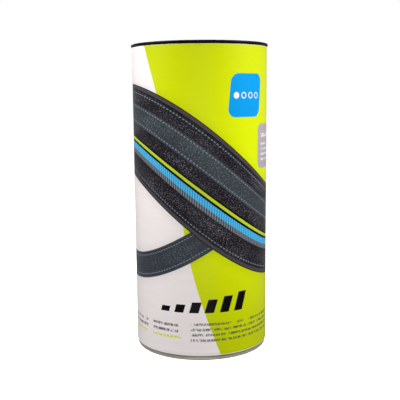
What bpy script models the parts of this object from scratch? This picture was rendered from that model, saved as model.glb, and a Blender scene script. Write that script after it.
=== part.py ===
"""Cylindrical cardboard packaging tube with a printed wrap, a rolled tin bottom and a plug lid.

The tube stands on the rim of its tin bottom, centred on the Z axis, with +Z up and the
printed front facing -Y. Run with: blender --background --python part.py
"""

from math import cos, pi, radians, sin

import bmesh
import bpy

# Driving dimensions, in metres
TOTAL_HEIGHT = 0.2240  # floor to the top of the lid
BODY_DIAMETER = 0.0990  # over the printed wrap
FIT_GAP = 0.0003  # kept between pieces that touch

WRAP_THICKNESS = 0.0003  # printed paper, with its varnish
BOARD_THICKNESS = 0.0018  # wound cardboard wall
FLARE_OUT = 0.0002  # how far the crimp pushes the wall's foot out
FLARE_HEIGHT = 0.0046
WRAP_TURN_IN = 0.0005  # the wrap's rounded lower edge
MOST_TURN_IN = 0.6  # of the wrap's thickness, the most that its lower edge turns in

RIM_HEIGHT = 0.0031  # rolled seam of the tin bottom
RIM_INSET = 0.0006  # the rim's face lies this far inside the wrap's face
RIM_EDGE_RADIUS = 0.0008
TIN_THICKNESS = 0.0005
COUNTERSINK = 0.0045  # height of the tin panel above the floor
BEAD_OUTER_DIAMETER = 0.0780  # expansion bead pressed into the tin panel
BEAD_WIDTH = 0.0055
BEAD_RISE = 0.0008

LID_OVERHANG = 0.0007  # the lid's flange beyond the wrap, all round
LID_FLANGE_THICKNESS = 0.0021
LID_EDGE_RADIUS = 0.0009
LID_WALL = 0.0014
PLUG_DEPTH = 0.0090  # the skirt's reach below the flange
PLUG_LEAD_IN = 0.0008  # chamfer at the skirt's foot
PANEL_RECESS = 0.0013  # the lid's centre below its flange
RECESS_SLOPE = 0.0010
RECESS_LAND = 0.0030  # flat of the flange inside the mouth of the board

SEGMENTS = 72  # facets round the axis
EDGE_STEPS = 4  # facets in each rounded edge
MOST_ROUNDING = 0.45  # of a rim's height, the most that each of its two edges is rounded
FLARE_STEPS = 4


def board_outer_radius():
    """The cardboard wall's outer radius, inside the wrap."""
    return BODY_DIAMETER / 2 - WRAP_THICKNESS - FIT_GAP


def board_inner_radius():
    """The tube's bore."""
    return board_outer_radius() - BOARD_THICKNESS


def plug_radius():
    """What goes into the bore, at the lid and at the tin bottom alike."""
    return board_inner_radius() - FIT_GAP


def wall_foot():
    """Height at which the wall starts, just above the rolled rim."""
    return RIM_HEIGHT + FIT_GAP


def wall_top():
    """Height at which the wall ends, just under the lid's flange."""
    return TOTAL_HEIGHT - LID_FLANGE_THICKNESS - FIT_GAP


def rounded(centre_r, centre_z, radius, start, end):
    """Points (r, z) along an arc, from one angle to another in degrees, both ends included."""
    angles = [radians(start + (end - start) * step / EDGE_STEPS) for step in range(EDGE_STEPS + 1)]
    return [(centre_r + radius * cos(a), centre_z + radius * sin(a)) for a in angles]


def flared(radius, inner_end=0.0):
    """A wall's face from its foot up to its top, bulging over the crimp above the rim."""
    steps = [step / FLARE_STEPS for step in range(FLARE_STEPS + 1)]
    foot = wall_foot()
    points = [(radius + FLARE_OUT * sin(pi * share), foot + FLARE_HEIGHT * share) for share in steps]
    points[0] = (radius - inner_end, foot)
    return points + [(radius, wall_top())]


def turned(name, outline, finish):
    """A solid of revolution: the outline's (r, z) points, run anticlockwise, spun round Z."""
    shape = bmesh.new()
    corners = [shape.verts.new((r, 0.0, z)) for r, z in outline]
    on_axis = outline[0][0] == 0.0 and outline[-1][0] == 0.0
    ring = list(zip(corners, corners[1:]))
    if not on_axis:
        ring.append((corners[-1], corners[0]))
    edges = [shape.edges.new(pair) for pair in ring]
    bmesh.ops.spin(
        shape,
        geom=corners + edges,
        cent=(0.0, 0.0, 0.0),
        axis=(0.0, 0.0, 1.0),
        angle=2 * pi,
        steps=SEGMENTS,
        use_merge=True,
    )
    bmesh.ops.remove_doubles(shape, verts=shape.verts, dist=1e-7)
    bmesh.ops.recalc_face_normals(shape, faces=shape.faces)
    mesh = bpy.data.meshes.new(name)
    shape.to_mesh(mesh)
    shape.free()
    mesh.materials.append(finish)
    mesh.shade_smooth()
    mesh.set_sharp_from_angle(angle=radians(30))
    piece = bpy.data.objects.new(name, mesh)
    bpy.context.scene.collection.objects.link(piece)
    return piece


def finish(name, colour, roughness, metallic=0.0):
    """A plain Principled material."""
    made = bpy.data.materials.new(name)
    made.use_nodes = True
    shader = made.node_tree.nodes["Principled BSDF"]
    shader.inputs["Base Color"].default_value = (*colour, 1.0)
    shader.inputs["Roughness"].default_value = roughness
    shader.inputs["Metallic"].default_value = metallic
    made.diffuse_color = (*colour, 1.0)
    return made


def board_tube():
    """The wound cardboard wall, open at both ends, its foot flared by the crimp."""
    outer = flared(board_outer_radius())
    bore = [(board_inner_radius(), wall_top()), (board_inner_radius(), wall_foot())]
    return turned("board_tube", outer + bore, finish("greyboard", (0.50, 0.44, 0.36), 0.85))


def printed_wrap():
    """The printed paper round the wall; its foot follows the flare and tucks in over the rim."""
    outer = flared(BODY_DIAMETER / 2, min(WRAP_TURN_IN, WRAP_THICKNESS * MOST_TURN_IN))
    inner = flared(BODY_DIAMETER / 2 - WRAP_THICKNESS)
    return turned("printed_wrap", outer + inner[::-1], finish("print", (0.62, 0.70, 0.04), 0.35))


def tin_bottom():
    """The tin end: rolled rim below the wall, chuck wall up the bore, and a beaded panel."""
    rim_face = BODY_DIAMETER / 2 - RIM_INSET
    edge = min(RIM_EDGE_RADIUS, RIM_HEIGHT * MOST_ROUNDING)
    chuck = plug_radius()
    bore = chuck - TIN_THICKNESS
    panel_top = COUNTERSINK + TIN_THICKNESS
    bead_outer = BEAD_OUTER_DIAMETER / 2
    bead_inner = bead_outer - BEAD_WIDTH
    ramp = BEAD_RISE
    under = [
        (0.0, COUNTERSINK),
        (bead_inner - ramp, COUNTERSINK),
        (bead_inner, COUNTERSINK + BEAD_RISE),
        (bead_outer, COUNTERSINK + BEAD_RISE),
        (bead_outer + ramp, COUNTERSINK),
        (bore, COUNTERSINK),
    ]
    rim = [(bore, 0.0)]
    rim += rounded(rim_face - edge, edge, edge, -90, 0)
    rim += rounded(rim_face - edge, RIM_HEIGHT - edge, edge, 0, 90)
    over = [
        (chuck, RIM_HEIGHT),
        (chuck, panel_top),
        (bead_outer + ramp, panel_top),
        (bead_outer, panel_top + BEAD_RISE),
        (bead_inner, panel_top + BEAD_RISE),
        (bead_inner - ramp, panel_top),
        (0.0, panel_top),
    ]
    return turned("tin_bottom", under + rim + over, finish("tinplate", (0.55, 0.52, 0.47), 0.35, 1.0))


def plug_lid():
    """The black lid: a round-edged flange over the wall's top, a skirt down the bore, a panel."""
    flange = BODY_DIAMETER / 2 + LID_OVERHANG
    edge = min(LID_EDGE_RADIUS, LID_FLANGE_THICKNESS * MOST_ROUNDING)
    under_flange = TOTAL_HEIGHT - LID_FLANGE_THICKNESS
    foot = under_flange - PLUG_DEPTH
    skirt = plug_radius()
    inside = skirt - LID_WALL
    panel_top = TOTAL_HEIGHT - PANEL_RECESS
    recess = inside - RECESS_LAND
    outline = [
        (0.0, panel_top - LID_WALL),
        (inside, panel_top - LID_WALL),
        (inside, foot),
        (skirt - PLUG_LEAD_IN, foot),
        (skirt, foot + PLUG_LEAD_IN),
        (skirt, under_flange),
    ]
    outline += rounded(flange - edge, under_flange + edge, edge, -90, 0)
    outline += rounded(flange - edge, TOTAL_HEIGHT - edge, edge, 0, 90)
    outline += [(recess + RECESS_SLOPE, TOTAL_HEIGHT), (recess, panel_top), (0.0, panel_top)]
    return turned("plug_lid", outline, finish("black_plastic", (0.012, 0.011, 0.011), 0.30))


def main():
    """Empties the scene and builds the tube's four pieces."""
    for old in list(bpy.data.objects):
        bpy.data.objects.remove(old)
    for build in (board_tube, printed_wrap, tin_bottom, plug_lid):
        build()


main()
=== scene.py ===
"""Looks of a cardboard packaging tube: printed wrap, wound board, rolled tin bottom and plug lid.

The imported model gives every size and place. Each class below builds one of the tube's pieces
round it, dresses it, and sets it on the body that carries it. Lengths are in metres, and the
printed artwork is laid out in millimetres on the unrolled wrap.
"""

import logging
from dataclasses import dataclass, field
from enum import Enum
from math import cos, pi, radians, sin, tau
from typing import Iterable, Optional, Sequence, Union

import bmesh
import bpy
from mathutils import Matrix, Vector


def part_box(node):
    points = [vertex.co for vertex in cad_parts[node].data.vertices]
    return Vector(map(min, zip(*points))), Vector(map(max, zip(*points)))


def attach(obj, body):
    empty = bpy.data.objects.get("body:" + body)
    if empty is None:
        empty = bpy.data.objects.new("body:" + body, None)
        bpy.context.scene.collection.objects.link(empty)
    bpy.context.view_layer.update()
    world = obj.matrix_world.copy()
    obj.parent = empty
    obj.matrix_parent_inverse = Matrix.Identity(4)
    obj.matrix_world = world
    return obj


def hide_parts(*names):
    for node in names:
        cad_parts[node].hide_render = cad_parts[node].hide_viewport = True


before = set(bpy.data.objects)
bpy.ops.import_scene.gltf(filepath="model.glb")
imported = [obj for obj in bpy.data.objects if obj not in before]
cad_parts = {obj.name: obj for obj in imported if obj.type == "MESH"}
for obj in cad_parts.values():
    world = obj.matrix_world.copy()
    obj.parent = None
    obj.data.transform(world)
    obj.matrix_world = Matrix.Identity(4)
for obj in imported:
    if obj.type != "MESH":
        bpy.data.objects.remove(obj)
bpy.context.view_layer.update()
MILLIMETRES = 1000.0
RING_STEPS = 256  # facets in a full turn
MERGE_DISTANCE = 1e-7  # how near two points are when they are joined
MID_TONE = 0.5  # between a pattern's dark and light colours
SOFT_EDGE = 0.14  # width in millimetres over which a printed edge fades
LOG = logging.getLogger("packaging_tube")

NEAR = 1e-5  # how far apart two heights or angles may be and count as one
SKIRT_INSET = 0.0034  # from the lid's edge in to whatever goes down the bore

Value = Union["Wire", float]
Point = tuple[float, float]
Colour = tuple[float, float, float, float]
WHITE_LIGHT: Colour = (1.0, 1.0, 1.0, 1.0)


class Body(Enum):
    """The rigid bodies that pieces ride on."""

    TUBE = "tube"
    LID = "lid"


class Ink(Enum):
    """The colours printed on the wrap, in sRGB from 0 to 255."""

    WHITE = (244, 236, 235)
    BARE_PAPER = (255, 252, 250)
    LIME = (215, 229, 0)
    LIME_DEEP = (192, 204, 0)
    LIME_THREAD = (186, 204, 44)
    CHARCOAL = (27, 24, 29)
    CHARCOAL_FLECK = (120, 118, 127)
    SLATE = (54, 59, 65)
    SLATE_FLECK = (100, 108, 115)
    BINDING = (70, 67, 70)
    BLACK = (10, 8, 12)
    BLUE = (0, 147, 219)
    BLUE_RIB = (88, 190, 234)
    BLUE_VALLEY = (38, 142, 198)
    GREY_RIB = (126, 134, 140)
    MAUVE = (172, 164, 169)
    STITCH = (122, 140, 152)
    TEXT = (62, 60, 67)

    @property
    def linear(self) -> Colour:
        """The colour in linear light, as a shader takes it.

        Returns:
            Red, green, blue and full cover, from 0 to 1.
        """
        shares = [part / 255.0 for part in self.value]
        curved = [s / 12.92 if s <= 0.04045 else ((s + 0.055) / 1.055) ** 2.4 for s in shares]
        return (*curved, 1.0)


class Wire:
    """A number that varies over a surface, whose arithmetic adds Math nodes to its recipe."""

    def __init__(self, recipe: "Recipe", socket: bpy.types.NodeSocket) -> None:
        """Keeps the recipe that the number belongs to, and the socket that it leaves."""
        self.recipe = recipe
        self.socket = socket

    def _with(self, operation: str, *others: Value, clamp: bool = False) -> "Wire":
        """The result of one Math node on this number and others."""
        return self.recipe.maths(operation, self, *others, clamp=clamp)

    def __add__(self, other: Value) -> "Wire":
        """The sum."""
        return self._with("ADD", other)

    __radd__ = __add__

    def __sub__(self, other: Value) -> "Wire":
        """The difference."""
        return self._with("SUBTRACT", other)

    def __rsub__(self, other: float) -> "Wire":
        """A plain number less this one."""
        return self.recipe.maths("SUBTRACT", other, self)

    def __mul__(self, other: Value) -> "Wire":
        """The product."""
        return self._with("MULTIPLY", other)

    __rmul__ = __mul__

    def __truediv__(self, other: Value) -> "Wire":
        """The quotient."""
        return self._with("DIVIDE", other)

    def __rtruediv__(self, other: float) -> "Wire":
        """A plain number over this one."""
        return self.recipe.maths("DIVIDE", other, self)

    def __pow__(self, other: Value) -> "Wire":
        """This number raised to a power."""
        return self._with("POWER", other)

    def __abs__(self) -> "Wire":
        """The size of this number without its sign."""
        return self._with("ABSOLUTE")

    def sine(self) -> "Wire":
        """The sine of this angle in radians."""
        return self._with("SINE")

    def cosine(self) -> "Wire":
        """The cosine of this angle in radians."""
        return self._with("COSINE")

    def ripple(self) -> "Wire":
        """The sine of this angle in radians, brought into 0 to 1."""
        return self.sine() * 0.5 + 0.5

    def floor(self) -> "Wire":
        """The whole number below."""
        return self._with("FLOOR")

    def fraction(self) -> "Wire":
        """What is left over the whole number below."""
        return self._with("FRACT")

    def off_middle(self, pitch: float) -> "Wire":
        """How far this count of steps lies from the middle of its step, for steps of a width."""
        return abs(self.fraction() - 0.5) * pitch

    def root(self) -> "Wire":
        """The square root."""
        return self._with("SQRT")

    def at_least(self, other: Value) -> "Wire":
        """The larger of two."""
        return self._with("MAXIMUM", other)

    def at_most(self, other: Value) -> "Wire":
        """The smaller of two."""
        return self._with("MINIMUM", other)

    def clamped(self) -> "Wire":
        """This number kept from 0 to 1."""
        return self._with("ADD", 0.0, clamp=True)

    def inside(self, softness: float = SOFT_EDGE) -> "Wire":
        """A mask that is 1 where this distance is below 0, with a soft edge of a width."""
        return self._with("MULTIPLY_ADD", -1.0 / softness, 0.5, clamp=True)

    def between(self, low: float, high: float, softness: float = SOFT_EDGE) -> "Wire":
        """A mask that is 1 where this number lies between two others, with soft edges."""
        return (abs(self - (low + high) / 2) - (high - low) / 2).inside(softness)


@dataclass(frozen=True)
class Grain:
    """A pattern of smooth random values: how many there are to a unit each way, and how rough."""

    scale: tuple[float, ...]
    offset: float = 0.0
    detail: float = 2.0
    roughness: float = 0.5
    middle: float = 0.5
    gain: float = 1.0

    def contrast(self, values: Wire) -> Wire:
        """The pattern's values, set about its middle and stretched by its gain."""
        return (values - self.middle) * self.gain


class Recipe:
    """A node tree that is written as expressions."""

    def __init__(self, tree: bpy.types.NodeTree) -> None:
        """Keeps the tree that the nodes go into."""
        self.tree = tree

    def node(
        self,
        kind: str,
        settings: Optional[dict[str, object]] = None,
        sockets: Optional[dict[Union[str, int], object]] = None,
    ) -> bpy.types.Node:
        """Adds one node.

        Args:
            kind: the node's type.
            settings: its properties, which are set first.
            sockets: values or wires for its inputs, by name or place.

        Returns:
            The new node.
        """
        made = self.tree.nodes.new(kind)
        for name, value in (settings or {}).items():
            setattr(made, name, value)
        for place, value in (sockets or {}).items():
            self.feed(made.inputs[place], value)
        return made

    def feed(self, target: bpy.types.NodeSocket, value: object) -> None:
        """Links a wire to an input, or sets a plain value on it.

        Args:
            target: the input.
            value: the wire or the plain value.
        """
        if isinstance(value, Wire):
            self.tree.links.new(value.socket, target)
        else:
            target.default_value = value

    def maths(self, operation: str, *values: Value, clamp: bool = False) -> Wire:
        """Adds a Math node.

        Args:
            operation: the node's operation.
            values: its inputs, in order.
            clamp: whether the result is kept from 0 to 1.

        Returns:
            The node's result.
        """
        settings = {"operation": operation, "use_clamp": clamp}
        made = self.node("ShaderNodeMath", settings, dict(enumerate(values)))
        return Wire(self, made.outputs[0])

    def mix(self, share: Value, first: object, second: object) -> Wire:
        """Mixes two colours.

        Args:
            share: how much of the second there is, from 0 to 1.
            first: the first colour.
            second: the second colour.

        Returns:
            The mixed colour.
        """
        settings = {"data_type": "RGBA"}
        made = self.node("ShaderNodeMix", settings, {0: share, 6: first, 7: second})
        return Wire(self, made.outputs[2])

    def parts(self, where: Wire) -> tuple[Wire, Wire, Wire]:
        """The three numbers of a vector."""
        made = self.node("ShaderNodeSeparateXYZ", None, {0: where})
        return tuple(Wire(self, output) for output in made.outputs)

    def vector(self, *parts: Value) -> Wire:
        """Three numbers as one vector."""
        return Wire(self, self.node("ShaderNodeCombineXYZ", None, dict(enumerate(parts))).outputs[0])

    def noise(self, grain: Grain, *where: Wire) -> Wire:
        """Smooth random values from 0 to 1.

        Args:
            grain: the pattern.
            where: the two or three numbers that it varies over. With two, its offset is the third.

        Returns:
            The values.
        """
        parts = [part * scale for part, scale in zip(where, grain.scale)]
        parts += [grain.offset] * (3 - len(parts))
        sockets = {"Vector": self.vector(*parts), "Scale": 1.0}
        sockets |= {"Detail": grain.detail, "Roughness": grain.roughness}
        return Wire(self, self.node("ShaderNodeTexNoise", None, sockets).outputs[0])


class Finish(Recipe):
    """The recipe of one material, with a Principled shader at its end."""

    def __init__(self, name: str) -> None:
        """Starts a material.

        Args:
            name: its name.
        """
        self.material = bpy.data.materials.new(name)
        self.material.use_nodes = True
        super().__init__(self.material.node_tree)
        self.shader = self.tree.nodes["Principled BSDF"]

    def place(self) -> tuple[Wire, Wire, Wire]:
        """The point on the surface, as three numbers in metres."""
        return self.parts(Wire(self, self.node("ShaderNodeTexCoord").outputs["Object"]))

    def bump(self, height: Wire, distance: float, strength: float = 1.0) -> None:
        """Raises the surface.

        Args:
            height: how high it stands, from 0 to 1.
            distance: what a height of 1 is, in metres.
            strength: how much of it shows.
        """
        sockets = {"Strength": strength, "Distance": distance, "Height": height}
        made = self.node("ShaderNodeBump", None, sockets)
        self.feed(self.shader.inputs["Normal"], Wire(self, made.outputs[0]))

    def surface(self, **values: object) -> bpy.types.Material:
        """Sets or links the shader's inputs.

        Args:
            values: what goes into each input, whose name has _ for each space.

        Returns:
            The finished material.
        """
        for name, value in values.items():
            self.feed(self.shader.inputs[name.replace("_", " ")], value)
        return self.material


@dataclass(frozen=True)
class Sheet:
    """The unrolled print: the recipe that it is written in, and a point's place on it.

    Across is the way round the wrap from its front, to the right, and up is the height above
    the floor, both in millimetres.
    """

    recipe: Finish
    across: Wire
    up: Wire


@dataclass(frozen=True)
class Ribbon:
    """One printed ribbon: its edges across the flow, in millimetres, and its look."""

    low: float
    high: float
    ink: Ink
    fleck: Optional[Ink] = None
    rib_pitch: float = 0.0
    rib_slant: float = 0.5
    shade: float = 0.0


@dataclass(frozen=True)
class Wave:
    """A line that flows once round the wrap, in millimetres of the unrolled print."""

    middle: float
    rise: float
    start: float


@dataclass(frozen=True)
class Sash:
    """A band of ribbons that follows a wave round the wrap, with its rows of stitches.

    A band with ends is a tab: it runs from one place across to another, its ends are rounded,
    and its ribbons and stitches follow its outline, their edges counted out from its spine.
    """

    wave: Wave
    ribbons: tuple[Ribbon, ...]
    stitch_rows: tuple[float, ...]
    shadow: float
    ends: Optional[tuple[float, float]] = None
    corner: float = 7.0
    shadow_reach: float = 8.0
    stitch_pitch: float = 2.1
    stitch_length: float = 1.2
    stitch_width: float = 0.7
    stitch_softness: float = 0.3
    stitch_cover: float = 0.9


@dataclass(frozen=True)
class Panel:
    """A plain printed panel with round corners: its middle, half sides and corner, and its ink."""

    across: float
    up: float
    half_width: float
    half_height: float
    corner: float
    ink: Ink
    slant: float = 0.0


@dataclass(frozen=True)
class Rows:
    """A block of small broken rows that stands where print would, with no letters in it."""

    left: float
    right: float
    low: float
    count: int
    pitch: float
    ink: Ink
    strength: float
    thickness: float = 1.5
    grain_thickness: float = 1.5
    softness: float = 0.3


@dataclass(frozen=True)
class LevelBars:
    """A row of slanted bars that grow to the right: its middle and base, and each bar's size."""

    across: float
    up: float
    count: int
    pitch: float
    half_width: float
    least: float
    growth: float
    slant: float
    ink: Ink


@dataclass(frozen=True)
class Pips:
    """A row of ring marks, of which the first few are filled."""

    across: float
    up: float
    count: int
    pitch: float
    radius: float
    filled: int
    ink: Ink
    line: float = 0.6


SASH = Sash(
    wave=Wave(124.0, 38.0, 4.0),
    ribbons=(
        Ribbon(33.4, 34.0, Ink.BLACK),
        Ribbon(31.2, 33.4, Ink.BINDING),
        Ribbon(30.6, 31.2, Ink.BLACK),
        Ribbon(21.0, 30.6, Ink.CHARCOAL, Ink.CHARCOAL_FLECK, shade=0.55),
        Ribbon(7.0, 21.0, Ink.SLATE, Ink.SLATE_FLECK, shade=0.45),
        Ribbon(-2.0, 7.0, Ink.CHARCOAL, Ink.CHARCOAL_FLECK, shade=0.55),
        Ribbon(-3.2, -2.0, Ink.BLACK),
        Ribbon(-5.2, -3.2, Ink.LIME_THREAD),
        Ribbon(-6.8, -5.2, Ink.BLACK),
        Ribbon(-11.2, -6.8, Ink.BLUE_RIB, Ink.BLUE_VALLEY, rib_pitch=1.7),
        Ribbon(-14.4, -11.2, Ink.GREY_RIB, Ink.SLATE, rib_pitch=1.7),
        Ribbon(-29.0, -14.4, Ink.CHARCOAL, Ink.CHARCOAL_FLECK, shade=0.7),
        Ribbon(-31.2, -29.0, Ink.BINDING),
        Ribbon(-31.8, -31.2, Ink.BLACK),
    ),
    stitch_rows=(28.6, 19.4, 8.6, -27.0),
    shadow=0.14,
)

STRAP = Sash(
    wave=Wave(95.0, -31.0, 14.0),
    ribbons=(
        Ribbon(8.6, 9.5, Ink.BINDING),
        Ribbon(-8.6, 8.6, Ink.SLATE, Ink.SLATE_FLECK, shade=0.6),
    ),
    stitch_rows=(6.8,),
    shadow=0.12,
    ends=(-92.0, 46.0),
)


@dataclass(frozen=True)
class WearAndShade:
    """How the print has worn, with painted shade along a crease and a painted shadow along the seam, in
    millimetres and in shares of a full change of colour.
    """

    foot: float = 0.35
    foot_softness: float = 0.6
    foot_share: float = 0.6
    head_reach: float = 0.55
    head_softness: float = 0.3
    head_share: float = 0.5
    # Painted shade: a darker line along a crease this far above the foot.
    crease_height: float = 2.5
    crease_half: float = 0.1
    crease_softness: float = 0.5
    crease_least: float = 0.4
    crease_shade_share: float = 0.03
    streak_share: float = 0.12
    # Painted shadow: a darker line along the lap's free edge at the back.
    seam_half: float = 0.15
    seam_softness: float = 0.2
    seam_shadow_share: float = 0.30


@dataclass(frozen=True)
class PrintedPaper:
    """The varnished print: plain fields, sashes of ribbons, and generic marks, with no words.

    The wall gives its radius, foot and top in metres, and the rest is in the sheet's millimetres.
    """

    radius: float
    foot: float
    top: float
    sashes: tuple[Sash, ...] = (STRAP, SASH)
    panels: tuple[Panel, ...] = (
        Panel(36.0, 187.0, 15.0, 15.0, 6.0, Ink.BLUE, slant=0.10),
        Panel(80.0, 151.0, 32.0, 16.0, 5.0, Ink.MAUVE),
    )
    rows: tuple[Rows, ...] = (
        Rows(-67.0, -45.0, 19.0, 2, 4.2, Ink.TEXT, 0.85, thickness=1.9),
        Rows(-67.0, -47.0, 14.6, 1, 4.2, Ink.LIME, 1.0, thickness=1.9),
        Rows(-39.0, -17.0, 19.0, 2, 4.2, Ink.TEXT, 0.85, thickness=1.9),
        Rows(-39.0, -15.0, 14.6, 1, 4.2, Ink.LIME, 1.0, thickness=1.9),
        Rows(-8.0, 66.0, 13.0, 4, 3.9, Ink.TEXT, 0.80, thickness=1.8),
        Rows(53.0, 104.0, 155.5, 1, 6.4, Ink.WHITE, 0.9, thickness=2.8),
        Rows(53.0, 106.0, 139.5, 4, 3.7, Ink.WHITE, 0.8),
        Rows(-146.0, -86.0, 14.0, 9, 4.4, Ink.TEXT, 0.8),
        Rows(-146.0, -104.0, 184.0, 4, 4.4, Ink.TEXT, 0.8),
    )
    pips: tuple[Pips, ...] = (
        Pips(36.0, 187.0, 4, 6.4, 1.9, 1, Ink.WHITE),
        Pips(130.0, 34.0, 5, 8.0, 2.8, 3, Ink.TEXT),
    )
    bars: LevelBars = LevelBars(0.0, 35.0, 6, 11.0, 3.4, 4.0, 1.9, 0.30, Ink.BLACK)
    front_edge: tuple[float, float] = (14.0, -44.0)
    back_edge: tuple[float, float] = (102.0, 132.0)
    edge_sway: float = 4.0
    fibres: Grain = Grain((0.12, 1.6), detail=3.0)
    swell: Grain = Grain((0.02, 0.008), detail=1.0)
    knit: Grain = Grain((0.95, 1.235), roughness=0.7, middle=0.56, gain=6.0)
    knit_tone: float = 0.22
    nap: Grain = Grain((0.05, 0.09), offset=5.0, gain=1.7)
    letters: Grain = Grain((1.25, 7.3, 0.45), detail=1.5, roughness=0.7, middle=0.42, gain=10.0)
    words: Grain = Grain((0.16, 3.1), detail=0.0, middle=0.24, gain=12.0)
    patches: Grain = Grain((0.35, 0.9), offset=2.0, detail=3.0, roughness=0.7)
    streaks: Grain = Grain((0.03, 0.55), offset=9.0, roughness=0.6, middle=0.42)
    wear_and_shade: WearAndShade = WearAndShade()
    roughness: float = 0.30
    fibre_roughness: float = 0.08
    worn_roughness: float = 0.35
    gloss: float = 0.11
    relief: float = 0.0001
    fibre_relief: float = 0.12
    swell_relief: float = 4.0
    worn_relief: float = 0.4

    def dress(self) -> bpy.types.Material:
        """The finished print, as a material on object coordinates.

        Returns:
            The material.
        """
        recipe = Finish("printed_paper")
        x, y, z = recipe.place()
        across = recipe.maths("ARCTAN2", x, 0.0 - y) * (self.radius * MILLIMETRES)
        sheet = Sheet(recipe, across, z * MILLIMETRES)
        colour = self._fields(sheet)
        for sash in self.sashes:
            colour = self._sash(sheet, colour, sash)
        for panel in self.panels:
            colour = self._panel(sheet, colour, panel)
        for pips in self.pips:
            colour = self._pips(sheet, colour, pips)
        for rows in self.rows:
            colour = self._rows(sheet, colour, rows)
        colour = self._level_bars(sheet, colour)
        colour, worn = self._worn_and_shaded(sheet, colour)
        fibres = recipe.noise(self.fibres, sheet.across, sheet.up)
        swell = recipe.noise(self.swell, sheet.across, sheet.up)
        height = fibres * self.fibre_relief + swell * self.swell_relief + worn * self.worn_relief
        recipe.bump(height, self.relief)
        roughness = self.roughness + fibres * self.fibre_roughness + worn * self.worn_roughness
        return recipe.surface(Base_Color=colour, Roughness=roughness, Specular_IOR_Level=self.gloss)

    def _fields(self, sheet: Sheet) -> Wire:
        """The white and lime fields that the print is laid on, the lime deeper at both ends.

        Args:
            sheet: the sheet.

        Returns:
            The colour.
        """
        share = (sheet.up - self.foot * MILLIMETRES) * (1.0 / ((self.top - self.foot) * MILLIMETRES))
        sway = (share * tau).sine() * self.edge_sway
        front = self.front_edge[0] + share * (self.front_edge[1] - self.front_edge[0]) - sway
        back = self.back_edge[0] + share * (self.back_edge[1] - self.back_edge[0]) + sway
        coloured = (front - sheet.across).inside() * (sheet.across - back).inside()
        lime = sheet.recipe.mix((share * pi).sine(), Ink.LIME_DEEP.linear, Ink.LIME.linear)
        return sheet.recipe.mix(coloured, Ink.WHITE.linear, lime)

    def _flow(self, sheet: Sheet, wave: Wave) -> tuple[Wire, Wire]:
        """How far a point lies above a wave, square to it, and how far along it.

        Args:
            sheet: the sheet.
            wave: the line that flows round the wrap.

        Returns:
            The distance above the line and the way along it, in millimetres.
        """
        radius = self.radius * MILLIMETRES
        turn = (sheet.across - wave.start) * (1.0 / radius)
        lean = turn.cosine() * (wave.rise / radius)
        square = (lean * lean + 1.0).root()
        climb = sheet.up - wave.middle + turn.sine() * wave.rise
        return climb / square, sheet.across - climb * lean / (square * square)

    def _sash(self, sheet: Sheet, colour: Wire, sash: Sash) -> Wire:
        """Lays a sash of ribbons over a colour.

        Args:
            sheet: the sheet.
            colour: what is printed so far.
            sash: the ribbons, their wave and their stitches.

        Returns:
            The colour with a soft shadow, the ribbons and the stitches on it.
        """
        recipe = sheet.recipe
        above, along = self._flow(sheet, sash.wave)
        low = min(ribbon.low for ribbon in sash.ribbons)
        high = max(ribbon.high for ribbon in sash.ribbons)
        if sash.ends is None:
            beyond = abs(above - (low + high) / 2) - (high - low) / 2
            thread_place = along
        else:
            middle, half = sum(sash.ends) / 2, (sash.ends[1] - sash.ends[0]) / 2
            beyond = self._outline(along - middle, above, half, high, sash.corner)
            thread_place = along + above
            above = beyond + high
        shadow = (1.0 - beyond * (1.0 / sash.shadow_reach)).clamped()
        colour = recipe.mix(shadow * shadow * sash.shadow, colour, Ink.BLACK.linear)
        knit = self._knit(recipe, along, above)
        inked = self._ribbon(recipe, sash.ribbons[0], above, along, knit)
        for ribbon in sash.ribbons[1:]:
            lower = self._ribbon(recipe, ribbon, above, along, knit)
            inked = recipe.mix((above - ribbon.high).inside(), inked, lower)
        colour = recipe.mix(beyond.inside(), colour, inked)
        from_stitch = (thread_place * (1.0 / sash.stitch_pitch)).off_middle(sash.stitch_pitch)
        dash = (from_stitch - sash.stitch_length / 2).inside(sash.stitch_softness)
        for row in sash.stitch_rows:
            thread = above.between(row - sash.stitch_width / 2, row + sash.stitch_width / 2)
            colour = recipe.mix(thread * dash * sash.stitch_cover, colour, Ink.STITCH.linear)
        return colour

    def _knit(self, recipe: Finish, along: Wire, above: Wire) -> Wire:
        """The flecked look of brushed fabric, as it is printed on the ribbons.

        Args:
            recipe: the material.
            along: the way along the sash, in millimetres.
            above: the way across it, in millimetres.

        Returns:
            How light the fabric is, from 0 to 1.
        """
        fine = recipe.noise(self.knit, along, above)
        broad = recipe.noise(self.nap, along, above)
        return (self.knit.contrast(fine) + self.nap.contrast(broad) + self.knit_tone).clamped()

    def _ribbon(self, recipe: Finish, ribbon: Ribbon, above: Wire, along: Wire, knit: Wire) -> object:
        """The colour of one ribbon: plain, flecked like fabric, or ribbed across.

        Args:
            recipe: the material.
            ribbon: the ribbon.
            above: the way across the sash, in millimetres.
            along: the way along it, in millimetres.
            knit: how light its fabric is.

        Returns:
            The colour, plain or varying.
        """
        if ribbon.fleck is None:
            return ribbon.ink.linear
        if ribbon.rib_pitch:
            rib = ((along + above * ribbon.rib_slant) * (tau / ribbon.rib_pitch)).ripple()
            return recipe.mix(rib, ribbon.ink.linear, ribbon.fleck.linear)
        middle, half = (ribbon.low + ribbon.high) / 2, (ribbon.high - ribbon.low) / 2
        crown = 1.0 - (abs(above - middle) * (1.0 / half)) ** 2.0 * ribbon.shade
        return recipe.mix(knit * crown, ribbon.ink.linear, ribbon.fleck.linear)

    def _panel(self, sheet: Sheet, colour: Wire, panel: Panel) -> Wire:
        """Lays a panel with round corners over a colour.

        Args:
            sheet: the sheet.
            colour: what is printed so far.
            panel: the panel.

        Returns:
            The colour with the panel on it.
        """
        v = sheet.up - panel.up
        u = sheet.across - panel.across - v * panel.slant
        beyond = self._outline(u, v, panel.half_width, panel.half_height, panel.corner)
        return sheet.recipe.mix(beyond.inside(), colour, panel.ink.linear)

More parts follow.
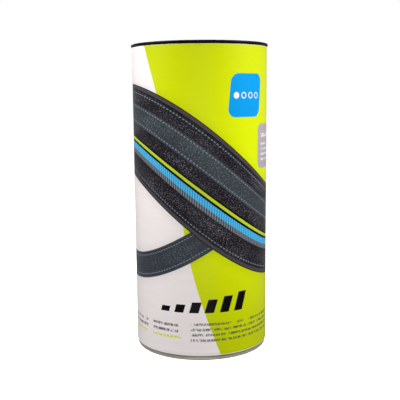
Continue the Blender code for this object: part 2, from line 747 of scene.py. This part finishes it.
    def _outline(self, u: Wire, v: Wire, half_width: float, half_height: float, corner: float) -> Wire:
        """How far a point lies beyond the outline of a rectangle with round corners.

        Args:
            u: the way along from its middle.
            v: the way across from its middle.
            half_width: half its size along.
            half_height: half its size across.
            corner: the radius of its corners.

        Returns:
            The distance, which is below 0 inside.
        """
        past_end = abs(u) - (half_width - corner)
        past_side = abs(v) - (half_height - corner)
        out_end, out_side = past_end.at_least(0.0), past_side.at_least(0.0)
        inner = past_end.at_least(past_side).at_most(0.0)
        return (out_end * out_end + out_side * out_side).root() + inner - corner

    def _pips(self, sheet: Sheet, colour: Wire, pips: Pips) -> Wire:
        """Lays a row of ring marks over a colour, the first few of them filled.

        Args:
            sheet: the sheet.
            colour: what is printed so far.
            pips: the marks.

        Returns:
            The colour with the marks on it.
        """
        u = sheet.across - pips.across + pips.count * pips.pitch / 2
        v = sheet.up - pips.up
        aside = (u * (1.0 / pips.pitch)).off_middle(pips.pitch)
        reach = (aside * aside + v * v).root() - pips.radius
        filled = (u - pips.filled * pips.pitch).inside()
        mark = (abs(reach) - pips.line / 2).inside().at_least(reach.inside() * filled)
        cover = mark * u.between(0.0, pips.count * pips.pitch)
        return sheet.recipe.mix(cover, colour, pips.ink.linear)

    def _rows(self, sheet: Sheet, colour: Wire, rows: Rows) -> Wire:
        """Lays a block of small broken rows over a colour.

        Args:
            sheet: the sheet.
            colour: what is printed so far.
            rows: the block.

        Returns:
            The colour with the rows on it.
        """
        step = (sheet.up - rows.low) * (1.0 / rows.pitch)
        row = step.floor()
        line = step.off_middle(rows.pitch) - rows.thickness / 2
        size = rows.grain_thickness / rows.thickness
        letters = sheet.recipe.noise(self.letters, sheet.across * size, row, sheet.up * size)
        words = sheet.recipe.noise(self.words, sheet.across * size, row + rows.left)
        marks = self.letters.contrast(letters).clamped() * self.words.contrast(words).clamped()
        high = rows.low + rows.count * rows.pitch
        block = sheet.across.between(rows.left, rows.right) * sheet.up.between(rows.low, high)
        cover = line.inside(rows.softness) * marks * block * rows.strength
        return sheet.recipe.mix(cover, colour, rows.ink.linear)

    def _level_bars(self, sheet: Sheet, colour: Wire) -> Wire:
        """Lays the row of slanted bars over a colour.

        Args:
            sheet: the sheet.
            colour: what is printed so far.

        Returns:
            The colour with the bars on it.
        """
        bars = self.bars
        above = sheet.up - bars.up
        slant = sheet.across - bars.across - above * bars.slant + bars.count * bars.pitch / 2
        place = slant * (1.0 / bars.pitch)
        beside = place.off_middle(bars.pitch) - bars.half_width
        over = above - bars.least - place.floor() * bars.growth
        bar = beside.at_least(over).at_least(0.0 - above).inside()
        cover = bar * slant.between(0.0, bars.count * bars.pitch)
        return sheet.recipe.mix(cover, colour, bars.ink.linear)

    def _worn_and_shaded(self, sheet: Sheet, colour: Wire) -> tuple[Wire, Wire]:
        """Paper showing through at the wrap's edges, painted shade along a crease, a painted shadow along
        the seam, and faint streaks.

        Args:
            sheet: the sheet.
            colour: the print.

        Returns:
            The worn colour with its painted shade and shadow, and how worn it is from 0 to 1.
        """
        recipe, wear_and_shade = sheet.recipe, self.wear_and_shade
        patches = recipe.noise(self.patches, sheet.across, sheet.up)
        streaks = self.streaks.contrast(recipe.noise(self.streaks, sheet.across, sheet.up)).clamped()
        above_foot = sheet.up - self.foot * MILLIMETRES
        below_top = self.top * MILLIMETRES - sheet.up
        foot = (above_foot - patches - wear_and_shade.foot).inside(wear_and_shade.foot_softness)
        head = (below_top - patches * wear_and_shade.head_reach).inside(wear_and_shade.head_softness)
        worn = (foot * wear_and_shade.foot_share + head * wear_and_shade.head_share).clamped()
        # Painted shade: a darker line along the crease above the foot.
        crease = (abs(above_foot - wear_and_shade.crease_height) - wear_and_shade.crease_half).inside(wear_and_shade.crease_softness)
        # Painted shadow: a darker line along the lap's free edge, half way round at the back.
        from_seam = pi * self.radius * MILLIMETRES - abs(sheet.across)
        seam = (from_seam - wear_and_shade.seam_half).inside(wear_and_shade.seam_softness)
        # How far the print darkens: the painted shade and shadow above, and faint streaks in the paper.
        darkening = crease * (patches + wear_and_shade.crease_least) * wear_and_shade.crease_shade_share
        darkening = darkening + streaks * wear_and_shade.streak_share + seam * wear_and_shade.seam_shadow_share
        toned = recipe.mix(darkening, colour, Ink.TEXT.linear)
        return recipe.mix(worn, toned, Ink.BARE_PAPER.linear), worn


@dataclass(frozen=True)
class Greyboard:
    """Wound greyboard: brown-grey fibres, spiral ply joints in the bore, ply rings at the edge."""

    top: float
    winding_pitch: float = 0.092
    ply: float = 0.45
    dark: Colour = (0.33, 0.27, 0.20, 1.0)
    light: Colour = (0.56, 0.48, 0.38, 1.0)
    joint: Colour = (0.13, 0.10, 0.07, 1.0)
    fibres: Grain = Grain((900.0, 900.0, 900.0), detail=4.0, roughness=0.7, gain=1.6)
    cloud: Grain = Grain((60.0, 60.0, 60.0), detail=3.0, gain=0.9)
    joint_half: float = 0.25
    joint_softness: float = 0.25
    joint_share: float = 0.7
    edge_depth: float = 0.05
    edge_softness: float = 0.1
    ply_share: float = 0.35
    relief: float = 0.00025
    fibre_relief: float = 0.5
    roughness: float = 0.82
    fibre_roughness: float = 0.15
    gloss: float = 0.25

    def dress(self) -> bpy.types.Material:
        """The finished board, as a material on object coordinates.

        Returns:
            The material.
        """
        recipe = Finish("greyboard")
        x, y, z = recipe.place()
        turn = recipe.maths("ARCTAN2", y, x) * (1.0 / tau)
        spiral = (z * (1.0 / self.winding_pitch) + turn).off_middle(self.winding_pitch)
        joint = (spiral * MILLIMETRES - self.joint_half).inside(self.joint_softness)
        radial = (x * x + y * y).root() * MILLIMETRES
        on_edge = ((self.top - z) * MILLIMETRES - self.edge_depth).inside(self.edge_softness)
        plies = (radial * (tau / self.ply)).ripple() * on_edge
        fibres = recipe.noise(self.fibres, x, y, z)
        cloud = recipe.noise(self.cloud, x, y, z)
        tone = (self.fibres.contrast(fibres) + self.cloud.contrast(cloud) + MID_TONE).clamped()
        colour = recipe.mix(tone, self.dark, self.light)
        marks = (joint * self.joint_share + plies * self.ply_share).clamped()
        colour = recipe.mix(marks, colour, self.joint)
        recipe.bump(fibres * self.fibre_relief - joint, self.relief)
        roughness = fibres * self.fibre_roughness + self.roughness
        return recipe.surface(Base_Color=colour, Roughness=roughness, Specular_IOR_Level=self.gloss)


@dataclass(frozen=True)
class Tinplate:
    """Rolled tinplate: grey with a warm tone, drawn lines round the rim, grain over the panel, and
    painted shade along the rim's shoulder under the wrap.
    """

    panel_radius: float
    shoulder: float
    # Painted shade: the rim's shoulder under the wrap's foot is darkened over this depth and by this
    # share.
    shoulder_depth: float = 0.0009
    shoulder_shade_share: float = 0.55
    dark: Colour = (0.47, 0.425, 0.355, 1.0)
    light: Colour = (0.72, 0.67, 0.585, 1.0)
    # The colour of the painted shade along the shoulder.
    darkening: Colour = (0.16, 0.145, 0.13, 1.0)
    rolled: Grain = Grain((40.0, 1400.0, 40.0), detail=3.0, roughness=0.6)
    drawn: Grain = Grain((60.0, 5200.0), roughness=0.6, gain=1.2)
    cloud: Grain = Grain((90.0, 90.0, 200.0), detail=4.0, roughness=0.6, gain=0.8)
    panel_softness: float = 0.0004
    metal: float = 0.62
    relief: float = 0.00004
    relief_strength: float = 0.6
    roughness: float = 0.42
    cloud_roughness: float = 0.18

    def dress(self) -> bpy.types.Material:
        """The finished tin, as a material on object coordinates.

        Returns:
            The material.
        """
        recipe = Finish("tinplate")
        x, y, z = recipe.place()
        radial = (x * x + y * y).root()
        rolled = recipe.noise(self.rolled, x, y, z)
        drawn = recipe.noise(self.drawn, radial, z)
        cloud = recipe.noise(self.cloud, x, y, z)
        on_panel = (radial - self.panel_radius).inside(self.panel_softness)
        lines = rolled * on_panel + drawn * (1.0 - on_panel)
        tone = (self.drawn.contrast(lines) + self.cloud.contrast(cloud) + MID_TONE).clamped()
        # Painted shade: a darker band along the top of the rim, under the overhanging wrap.
        shoulder = (self.shoulder - z).inside(self.shoulder_depth) * self.shoulder_shade_share
        colour = recipe.mix(shoulder, recipe.mix(tone, self.dark, self.light), self.darkening)
        recipe.bump(lines, self.relief, self.relief_strength)
        roughness = cloud * self.cloud_roughness + self.roughness
        return recipe.surface(Base_Color=colour, Metallic=self.metal, Roughness=roughness)


@dataclass(frozen=True)
class BlackPlastic:
    """Moulded black plastic: satin on the rim, a finer matt in the lid's recess."""

    recess_radius: float
    dark: Colour = (0.0014, 0.0012, 0.0014, 1.0)
    light: Colour = (0.0044, 0.0040, 0.0042, 1.0)
    pebble: Grain = Grain((2200.0, 2200.0, 2200.0), roughness=0.6)
    smear: Grain = Grain((60.0, 60.0, 60.0), detail=4.0, roughness=0.6)
    matt_softness: float = 0.001
    roughness: float = 0.26
    smear_roughness: float = 0.14
    matt_roughness: float = 0.16
    gloss: float = 0.06
    relief: float = 0.00003
    relief_strength: float = 0.7
    satin_relief: float = 0.3

    def dress(self) -> bpy.types.Material:
        """The finished plastic, as a material on object coordinates.

        Returns:
            The material.
        """
        recipe = Finish("black_plastic")
        x, y, z = recipe.place()
        pebble = recipe.noise(self.pebble, x, y, z)
        smear = recipe.noise(self.smear, x, y, z)
        matt = ((x * x + y * y).root() - self.recess_radius).inside(self.matt_softness)
        colour = recipe.mix(smear, self.dark, self.light)
        roughness = smear * self.smear_roughness + matt * self.matt_roughness + self.roughness
        height = pebble * (matt * (1.0 - self.satin_relief) + self.satin_relief)
        recipe.bump(height, self.relief, self.relief_strength)
        return recipe.surface(Base_Color=colour, Roughness=roughness, Specular_IOR_Level=self.gloss)


class Turned:
    """A piece turned round the Z axis, built from a short outline and finished with operators."""

    def __init__(
        self, name: str, outline: Sequence[Point], whole: bool = True, sweep: float = tau
    ) -> None:
        """Spins an outline of (radius, height) points round Z.

        Args:
            name: the piece's name.
            outline: its points, closed into a ring when whole.
            whole: whether the last point joins the first.
            sweep: how far it is spun, in radians.
        """
        self.name = name
        self.shape = bmesh.new()
        points = [self.shape.verts.new((r, 0.0, z)) for r, z in outline]
        pairs = list(zip(points, points[1:]))
        if whole:
            pairs.append((points[-1], points[0]))
        lines = [self.shape.edges.new(pair) for pair in pairs]
        full = abs(sweep - tau) < NEAR
        bmesh.ops.spin(
            self.shape,
            geom=points + lines,
            cent=(0.0, 0.0, 0.0),
            axis=(0.0, 0.0, 1.0),
            angle=sweep,
            steps=max(2, round(RING_STEPS * sweep / tau)),
            use_merge=full,
        )
        bmesh.ops.remove_doubles(self.shape, verts=self.shape.verts, dist=MERGE_DISTANCE)
        bmesh.ops.recalc_face_normals(self.shape, faces=self.shape.faces)

    def rounded(self, corners: Iterable[tuple[float, float, float]], segments: int = 5) -> "Turned":
        """Bevels the rings that run through some corners.

        Args:
            corners: each ring's radius and height, and the radius that it is rounded to.
            segments: the facets in each rounded ring.

        Returns:
            The piece itself.
        """
        for radius, height, rounding in corners:
            ring = [edge for edge in self.shape.edges if self._runs_through(edge, radius, height)]
            bmesh.ops.bevel(
                self.shape,
                geom=ring,
                offset=rounding,
                offset_type="OFFSET",
                affect="EDGES",
                segments=segments,
                profile=0.5,
                material=-1,
                clamp_overlap=True,
            )
        return self

    @staticmethod
    def _runs_through(edge: bmesh.types.BMEdge, radius: float, height: float, near: float = 2e-6) -> bool:
        """Whether both ends of an edge lie on the ring of a radius and a height."""
        gaps = [max(abs(v.co.z - height), abs(v.co.xy.length - radius)) for v in edge.verts]
        return max(gaps) < near

    def walled(self, thickness: float) -> "Turned":
        """Gives an open sheet its wall.

        Args:
            thickness: how far the wall reaches inwards.

        Returns:
            The piece itself.
        """
        bmesh.ops.solidify(self.shape, geom=self.shape.faces[:], thickness=thickness)
        bmesh.ops.recalc_face_normals(self.shape, faces=self.shape.faces)
        return self

    def turned_by(self, angle: float) -> "Turned":
        """Turns the piece round Z."""
        bmesh.ops.rotate(self.shape, verts=self.shape.verts, matrix=Matrix.Rotation(angle, 3, "Z"))
        return self

    def made(self, material: bpy.types.Material, sharp: float = 35.0) -> bpy.types.Object:
        """The finished object, dressed and shaded smooth.

        Args:
            material: its finish.
            sharp: the angle in degrees past which an edge stays sharp.

        Returns:
            The new object.
        """
        mesh = bpy.data.meshes.new(self.name)
        self.shape.to_mesh(mesh)
        self.shape.free()
        mesh.materials.append(material)
        mesh.shade_smooth()
        mesh.set_sharp_from_angle(angle=radians(sharp))
        piece = bpy.data.objects.new(self.name, mesh)
        bpy.context.scene.collection.objects.link(piece)
        # Without this the shading of a bevel spreads over the flats beside it.
        flats = piece.modifiers.new("flats", "WEIGHTED_NORMAL")
        flats.keep_sharp = True
        return piece


def settle(piece: bpy.types.Object, body: Body, node: Optional[str] = None) -> None:
    """Sets a finished piece on its body.

    Args:
        piece: the piece.
        body: what carries it.
        node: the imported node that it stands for, if any.
    """
    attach(piece, body.value)
    if node is not None:
        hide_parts(node)
    LOG.info("%s: %d faces on %s", piece.name, len(piece.data.polygons), body.value)


@dataclass
class Wall:
    """The tube's wall: the wound board and the printed wrap round it, with its lap at the back."""

    bulge: float = 0.00008
    bulge_height: float = 0.0040
    bulge_steps: int = 10
    turn_in: float = 0.0005
    turn_steps: int = 6
    drop: float = 0.0002
    wrap_thickness: float = 0.0003
    lap_width: float = 0.009
    lap_rise: float = 0.00012
    lap_thickness: float = 0.000108
    board_edge: float = 0.00025
    foot: float = field(init=False)
    top: float = field(init=False)
    wrap_radius: float = field(init=False)
    board_radius: float = field(init=False)
    bore: float = field(init=False)

    def __post_init__(self) -> None:
        """Reads the wall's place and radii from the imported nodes."""
        low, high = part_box("printed_wrap")
        self.foot, self.top = low.z - self.drop, high.z
        self.wrap_radius = max(self._mouth("printed_wrap"))
        self.board_radius = max(self._mouth("board_tube"))
        self.bore = min(self._mouth("board_tube"))

    @staticmethod
    def _mouth(node: str) -> list[float]:
        """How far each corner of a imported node's upper rim lies from the axis."""
        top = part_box(node)[1].z - NEAR
        return [v.co.xy.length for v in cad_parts[node].data.vertices if v.co.z > top]

    def _face(self, radius: float, turn_in: float) -> list[Point]:
        """A face of the wall from its foot to its top, bulging a little where it was crimped.

        Args:
            radius: how far the straight part of the face lies from the axis.
            turn_in: the radius that its lower edge is rounded to, in over the rim.

        Returns:
            Its points.
        """
        points = []
        for step in range(self.turn_steps):
            angle = pi / 2 * step / self.turn_steps
            rise = turn_in * (1.0 - cos(angle))
            points.append((radius - turn_in * (1.0 - sin(angle)), self.foot + rise))
        for step in range(self.bulge_steps + 1):
            share = step / self.bulge_steps
            out = self.bulge * sin(pi * share)
            points.append((radius + out, self.foot + turn_in + self.bulge_height * share))
        return points + [(radius, self.top)]

    def build(self) -> None:
        """Builds the board, the wrap and the wrap's lap."""
        print_finish = PrintedPaper(self.wrap_radius, self.foot, self.top).dress()
        wrap = Turned("wrap", self._face(self.wrap_radius, self.turn_in), whole=False)
        wrapped = wrap.walled(self.wrap_thickness).made(print_finish)
        settle(wrapped, Body.TUBE, "printed_wrap")
        lap = Turned(
            "wrap_lap",
            self._face(self.wrap_radius + self.lap_rise, self.turn_in),
            whole=False,
            sweep=self.lap_width / self.wrap_radius,
        )
        lap.turned_by(pi / 2)
        settle(lap.walled(self.lap_thickness).made(print_finish), Body.TUBE)
        board = Turned(
            "board",
            self._face(self.board_radius, self.turn_in - self.wrap_thickness)
            + [(self.bore, self.top), (self.bore, self.foot)],
        )
        edges = [(radius, self.top, self.board_edge) for radius in (self.bore, self.board_radius)]
        board.rounded(edges, segments=3)
        finish = Greyboard(self.top).dress()
        settle(board.made(finish), Body.TUBE, "board_tube")


@dataclass
class TinBottom:
    """The tin end: a rolled rim with a slight waist, a countersink and a beaded panel."""

    rim_height: float = 0.0029
    waist: float = 0.00014
    lip_share: float = 0.3
    tin: float = 0.0005
    countersink: float = 0.0045
    bead_radii: tuple[float, float] = (0.0335, 0.0390)
    bead_rise: float = 0.0008
    foot_rounding: float = 0.0009
    lip_rounding: float = 0.0006
    chuck_rounding: float = 0.0008
    bead_rounding: float = 0.0005
    radius: float = field(init=False)
    top: float = field(init=False)
    chuck: float = field(init=False)

    def __post_init__(self) -> None:
        """Reads the end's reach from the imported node."""
        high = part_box("tin_bottom")[1]
        self.radius = high.x
        self.top = high.z - self.bead_rise
        self.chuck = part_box("plug_lid")[1].x - SKIRT_INSET

    def _panel(self, height: float) -> list[Point]:
        """The profile of the panel's face at a height.

        Args:
            height: how high its flats lie.

        Returns:
            Its points, from the axis out over the bead.
        """
        inner, outer = self.bead_radii
        rise = self.bead_rise
        bead = [(inner - rise, height), (inner, height + rise), (outer, height + rise)]
        return [(0.0, height)] + bead + [(outer + rise, height)]

    def build(self) -> None:
        """Builds the tin end and dresses it."""
        bore = self.chuck - self.tin
        under = self._panel(self.countersink) + [(bore, self.countersink), (bore, 0.0)]
        waist = (self.radius - self.waist, self.rim_height / 2)
        lip = (self.radius - self.waist * self.lip_share, self.rim_height)
        over = [(self.chuck, self.rim_height), (self.chuck, self.top)] + self._panel(self.top)[::-1]
        end = Turned("tin_end", under + [(self.radius, 0.0), waist, lip] + over, whole=False)
        inner, outer = self.bead_radii
        end.rounded(
            [
                (self.radius, 0.0, self.foot_rounding),
                (*lip, self.lip_rounding),
                (bore, 0.0, self.lip_rounding),
                (bore, self.countersink, self.chuck_rounding),
                (inner - self.bead_rise, self.countersink, self.bead_rounding),
                (outer + self.bead_rise, self.countersink, self.bead_rounding),
            ]
        )
        end.rounded([(*waist, self.lip_rounding)], segments=3)
        finish = Tinplate(bore - self.lip_rounding, self.rim_height - self.lip_rounding).dress()
        settle(end.made(finish), Body.TUBE, "tin_bottom")


@dataclass
class PlugLid:
    """The lid: a round-edged flange, a skirt with sealing beads down the bore, a sunk panel."""

    flange: float = 0.0021
    edge: float = 0.00095
    under_edge: float = 0.00076
    wall: float = 0.0014
    recess: float = 0.0013
    recess_land: float = 0.0030
    recess_slope: float = 0.0010
    lead_in: float = 0.0008
    seal_shares: tuple[float, float] = (0.42, 0.72)
    seal_half: float = 0.0005
    seal_rise: float = 0.00012
    gate_radius: float = 0.0018
    gate_floor: float = 0.00144
    gate_depth: float = 0.00015
    recess_rounding: float = 0.0004
    inner_rounding: float = 0.0006
    radius: float = field(init=False)
    foot: float = field(init=False)
    top: float = field(init=False)

    def __post_init__(self) -> None:
        """Reads the lid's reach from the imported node."""
        low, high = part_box("plug_lid")
        self.radius, self.foot, self.top = high.x, low.z, high.z

    def build(self) -> None:
        """Builds the lid and dresses it."""
        skirt = self.radius - SKIRT_INSET
        inside = skirt - self.wall
        under_flange = self.top - self.flange
        panel = self.top - self.recess
        recess = inside - self.recess_land
        beads = []
        for share in self.seal_shares:
            height = self.foot + (under_flange - self.foot) * share
            beads.append((skirt, height - self.seal_half))
            beads.append((skirt + self.seal_rise, height))
            beads.append((skirt, height + self.seal_half))
        outline = [(0.0, panel - self.wall), (inside, panel - self.wall), (inside, self.foot)]
        outline += [(skirt - self.lead_in, self.foot), (skirt, self.foot + self.lead_in)]
        outline += beads + [(skirt, under_flange), (self.radius, under_flange), (self.radius, self.top)]
        outline += [(recess + self.recess_slope, self.top), (recess, panel)]
        gate = panel - self.gate_depth
        outline += [(self.gate_radius, panel), (self.gate_floor, gate), (0.0, gate)]
        lid = Turned("lid", outline, whole=False)
        lid.rounded(
            [
                (self.radius, self.top, self.edge),
                (self.radius, under_flange, self.under_edge),
                (recess + self.recess_slope, self.top, self.recess_rounding),
                (recess, panel, self.recess_rounding),
                (inside, panel - self.wall, self.inner_rounding),
            ]
        )
        finish = BlackPlastic(recess).dress()
        settle(lid.made(finish), Body.LID, "plug_lid")


@dataclass
class Softbox:
    """A plain square light: where it stands, what it looks at, its side and its power."""

    name: str
    place: tuple[float, float, float]
    size: float
    power: float
    aim: tuple[float, float, float] = (0.0, 0.0, 0.17)

    def build(self) -> None:
        """Adds the light, turned to its aim."""
        light = bpy.data.lights.new(self.name, "AREA")
        light.shape = "SQUARE"
        light.size = self.size
        light.energy = self.power
        lamp = bpy.data.objects.new(self.name, light)
        bpy.context.scene.collection.objects.link(lamp)
        lamp.location = self.place
        facing = (Vector(self.aim) - Vector(self.place)).to_track_quat("-Z", "Y")
        lamp.rotation_euler = facing.to_euler()


@dataclass
class Studio:
    """The pale floor, the soft light and the camera at the photograph's angle."""

    camera_distance: float = 0.5383
    camera_height: float = 0.1865
    camera_aside: float = -0.0004
    pitch_down: float = 0.1437
    roll: float = -0.0080
    focal_pixels: float = 716.6
    frame_pixels: float = 400.0
    sensor: float = 36.0
    floor_size: float = 12.0
    floor_glow: float = 0.85
    floor_colour: Colour = (0.82, 0.82, 0.82, 1.0)
    floor_roughness: float = 0.8
    floor_share: float = 0.60
    front_grey: float = 0.16
    side_grey: float = 0.32
    side_span: float = 0.8
    sky_start: float = -0.5
    sky_span: float = 0.7
    clip: tuple[float, float] = (0.01, 50.0)
    softboxes: tuple[Softbox, ...] = (
        Softbox("right_softbox", (0.38, -0.12, 0.44), 0.30, 2.55),
        Softbox("left_softbox", (-0.38, -0.12, 0.44), 0.30, 2.2),
        Softbox("front_softbox", (0.04, -0.46, 0.62), 0.40, 1.70, (0.0, 0.0, 0.18)),
        Softbox("low_softbox", (0.0, -0.62, 0.02), 0.50, 0.85, (0.0, 0.0, 0.03)),
        Softbox("back_softbox", (-0.10, 0.62, 0.60), 0.50, 4.5, (0.0, 0.0, 0.14)),
    )

    def build(self) -> None:
        """Builds the floor, the lights, the surroundings and the camera."""
        self._floor()
        for softbox in self.softboxes:
            softbox.build()
        self._surroundings()
        self._camera()
        bpy.context.scene.view_settings.view_transform = "Standard"

    def _floor(self) -> None:
        """A plain pale floor, lit from within as a light table is."""
        shape = bmesh.new()
        bmesh.ops.create_grid(shape, x_segments=1, y_segments=1, size=self.floor_size / 2)
        mesh = bpy.data.meshes.new("floor")
        shape.to_mesh(mesh)
        shape.free()
        recipe = Finish("pale_floor")
        pale = {"Base_Color": self.floor_colour, "Roughness": self.floor_roughness}
        glow = {"Emission_Color": WHITE_LIGHT, "Emission_Strength": self.floor_glow}
        mesh.materials.append(recipe.surface(**pale, **glow))
        floor = bpy.data.objects.new("floor", mesh)
        floor.visible_diffuse = False
        floor.visible_glossy = False
        bpy.context.scene.collection.objects.link(floor)

    def _surroundings(self) -> None:
        """White behind the tube, and a soft grey light round it, darkest in front and below."""
        world = bpy.data.worlds.new("studio")
        bpy.context.scene.world = world
        world.use_nodes = True
        world.node_tree.nodes.clear()
        recipe = Recipe(world.node_tree)
        where = Wire(recipe, recipe.node("ShaderNodeTexCoord").outputs["Generated"])
        _, behind, above = recipe.parts(where)
        to_side = ((behind + 1.0) * (1.0 / self.side_span)).clamped()
        to_sky = ((above - self.sky_start) * (1.0 / self.sky_span)).clamped()
        grey = self.front_grey + to_side * (self.side_grey - self.front_grey)
        strength = grey * (self.floor_share + to_sky * (1.0 - self.floor_share))
        lit = {"Color": WHITE_LIGHT, "Strength": strength}
        around = Wire(recipe, recipe.node("ShaderNodeBackground", None, lit).outputs[0])
        seen = Wire(recipe, recipe.node("ShaderNodeBackground", None, {"Color": WHITE_LIGHT}).outputs[0])
        camera_ray = Wire(recipe, recipe.node("ShaderNodeLightPath").outputs["Is Camera Ray"])
        choose = recipe.node("ShaderNodeMixShader", None, {0: camera_ray, 1: around, 2: seen})
        recipe.node("ShaderNodeOutputWorld", None, {"Surface": Wire(recipe, choose.outputs[0])})

    def _camera(self) -> None:
        """The camera, from the distance, height, tilt and lens fitted to the photograph."""
        data = bpy.data.cameras.new("camera")
        data.sensor_width = self.sensor
        data.lens = self.focal_pixels * self.sensor / self.frame_pixels
        data.clip_start, data.clip_end = self.clip
        camera = bpy.data.objects.new("camera", data)
        bpy.context.scene.collection.objects.link(camera)
        forward = Vector((0.0, cos(self.pitch_down), -sin(self.pitch_down)))
        level_up = Vector((0.0, sin(self.pitch_down), cos(self.pitch_down)))
        level_right = Vector((1.0, 0.0, 0.0))
        right = level_right * cos(self.roll) + level_up * sin(self.roll)
        up = level_up * cos(self.roll) - level_right * sin(self.roll)
        turn = Matrix((right, up, -forward)).transposed().to_4x4()
        place = Vector((self.camera_aside, -self.camera_distance, self.camera_height))
        camera.matrix_world = Matrix.Translation(place) @ turn
        bpy.context.scene.camera = camera


def main() -> None:
    """Builds the studio and the tube's pieces in order."""
    logging.basicConfig(level=logging.INFO, format="%(name)s %(message)s")
    Studio().build()
    Wall().build()
    TinBottom().build()
    PlugLid().build()


if __name__ == "__main__":
    main()
